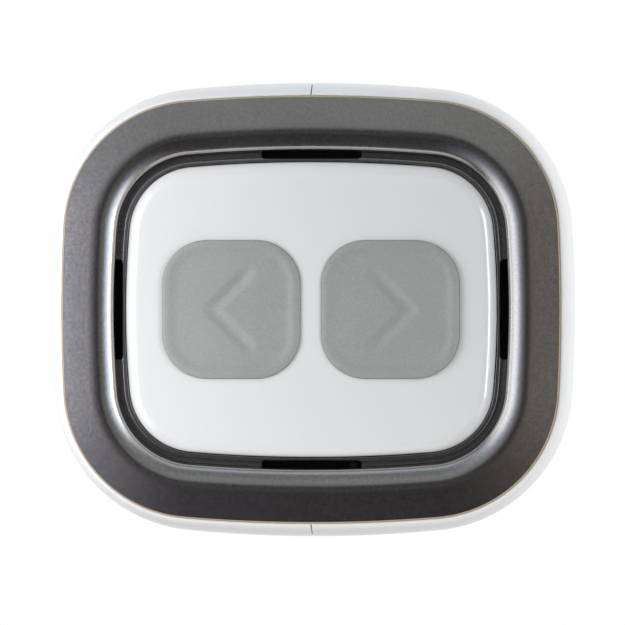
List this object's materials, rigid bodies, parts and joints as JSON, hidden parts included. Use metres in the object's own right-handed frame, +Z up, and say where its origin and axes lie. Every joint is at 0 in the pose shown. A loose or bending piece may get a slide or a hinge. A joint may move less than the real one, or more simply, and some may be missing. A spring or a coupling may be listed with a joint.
{
  "type": "smart radiator thermostat",
  "caption": "Battery-powered smart radiator thermostat: white rounded casing, dark metal bezel, glossy front panel with left and right arrow keys, and a union nut for the valve at the rear.",
  "frame": {"origin": "centre of the union nut's mouth, on the valve axis", "axes": "+Y out of the nut towards the valve, -Y the front with the two keys, +X right seen from the front, +Z up"},
  "size_m": [0.06, 0.097, 0.052],
  "materials": {
    "casing_white": "high gloss, fine moulded edge",
    "bezel_gunmetal": "satin dark anodised",
    "panel_white": "high gloss, slightly domed",
    "key_grey": "soft matt silicone",
    "window_smoke": "glossy smoked clear plastic",
    "carrier_black": "fine spark texture",
    "board_green": "solder resist",
    "board_black": "black solder resist",
    "black_epoxy": "matt moulded epoxy",
    "tin_steel": "tin-plated sheet",
    "screw_steel": "zinc-plated",
    "spring_steel": "nickel-plated wire",
    "pin_steel": "ground",
    "motor_steel": "drawn, nickel-plated",
    "magnet_grey": "sintered ferrite",
    "armature_copper": "enamelled copper on laminations",
    "brass_bare": "turned",
    "nut_nickel": "nickel-plated, fluted",
    "adapter_black": "glass-filled nylon",
    "gear_white": "moulded acetal",
    "gear_black": "moulded acetal",
    "frame_grey": "glass-filled nylon",
    "cell_wrap": "plain printed sleeve with bright ends",
    "tray_white": "fine texture",
    "wire_red": "insulated wire",
    "lcd_glass": "polarised display glass",
    "light_guide": "frosted",
    "capacitor_blue": "sleeved can",
    "sensor_bead": "epoxy bead",
    "connector_cream": "moulded",
    "stem_red": "moulded"
  },
  "bodies": {
    "body": {"housing_left": "casing_white", "housing_right": "casing_white", "display_window": "window_smoke", "housing_screws": "screw_steel", "front_bezel": "bezel_gunmetal", "front_panel": "panel_white", "button_pcb": "board_black", "tact_switches": "black_epoxy", "room_sensor": "sensor_bead", "front_carrier": "carrier_black", "front_screws": "screw_steel", "main_pcb": "board_green", "board_connector": "connector_cream", "radio_shield": "tin_steel", "pcb_chips": "black_epoxy", "capacitor_can": "capacitor_blue", "antenna_strip": "brass_bare", "display_holder": "carrier_black", "display_backlight": "light_guide", "display_glass": "lcd_glass", "battery_tray": "tray_white", "battery_left": "cell_wrap", "battery_right": "cell_wrap", "contact_bridge": "tin_steel", "contact_plates": "tin_steel", "contact_springs": "spring_steel", "battery_leads": "wire_red", "valve_adapter": "adapter_black", "nut_snap_ring": "spring_steel", "thrust_washer": "brass_bare", "gear_pins": "pin_steel", "gearbox_cover": "frame_grey", "gearbox_frame": "frame_grey", "gearbox_screws": "screw_steel", "motor_can": "motor_steel", "motor_endcap": "black_epoxy", "motor_terminals": "brass_bare", "motor_magnets": "magnet_grey", "motor_leads": "wire_red"},
    "key_left": {"button_left": "key_grey", "switch_stem_left": "stem_red"},
    "key_right": {"button_right": "key_grey", "switch_stem_right": "stem_red"},
    "nut": {"union_nut": "nut_nickel"},
    "cover": {"battery_cover": "casing_white"},
    "motor_rotor": {"motor_armature": "armature_copper", "motor_shaft": "pin_steel", "motor_pinion": "brass_bare"},
    "stage_1": {"gear_stage_1": "gear_white"},
    "stage_2": {"gear_stage_2": "gear_white"},
    "stage_3": {"gear_stage_3": "gear_white"},
    "drive": {"drive_gear": "gear_black"},
    "spindle": {"plunger": "brass_bare"}
  },
  "joints": [
    {"name": "key_left_press", "type": "slide", "parent": "body", "child": "key_left", "axis": [0, 1, 0], "range_m": [0, 0.0005], "stiffness_N_per_m": 3000},
    {"name": "key_right_press", "type": "slide", "parent": "body", "child": "key_right", "axis": [0, 1, 0], "range_m": [0, 0.0005], "stiffness_N_per_m": 3000},
    {"name": "nut_spin", "type": "hinge", "parent": "body", "child": "nut", "pos_m": [0, -0.008, 0], "axis": [0, 1, 0], "continuous": true},
    {"name": "cover_pull", "type": "slide", "parent": "body", "child": "cover", "axis": [0, 0, -1], "range_m": [0, 0.012]},
    {"name": "motor_spin", "type": "hinge", "parent": "body", "child": "motor_rotor", "pos_m": [-0.00067, 0, 0.00817], "axis": [0, -1, 0], "range_deg": [0, 162000]},
    {"name": "stage_1_spin", "type": "hinge", "parent": "body", "child": "stage_1", "pos_m": [-0.01025, 0, 0.00884], "axis": [0, -1, 0], "range_deg": [-54000, 0]},
    {"name": "stage_2_spin", "type": "hinge", "parent": "body", "child": "stage_2", "pos_m": [-0.00082, 0, 0.01324], "axis": [0, -1, 0], "range_deg": [0, 16200]},
    {"name": "stage_3_spin", "type": "hinge", "parent": "body", "child": "stage_3", "pos_m": [0.00919, 0, 0.00919], "axis": [0, -1, 0], "range_deg": [-5400, 0]},
    {"name": "drive_spin", "type": "hinge", "parent": "body", "child": "drive", "pos_m": [0, 0, 0], "axis": [0, -1, 0], "range_deg": [0, 1620]},
    {"name": "plunger_stroke", "type": "slide", "parent": "body", "child": "spindle", "axis": [0, 1, 0], "range_m": [0, 0.0045]}
  ],
  "couplings": [
    {"joint": "drive_spin", "follows": "plunger_stroke", "rad_per_m": 6283.2},
    {"joint": "stage_3_spin", "follows": "plunger_stroke", "rad_per_m": -20944},
    {"joint": "stage_2_spin", "follows": "plunger_stroke", "rad_per_m": 62832},
    {"joint": "stage_1_spin", "follows": "plunger_stroke", "rad_per_m": -209440},
    {"joint": "motor_spin", "follows": "plunger_stroke", "rad_per_m": 628320}
  ]
}
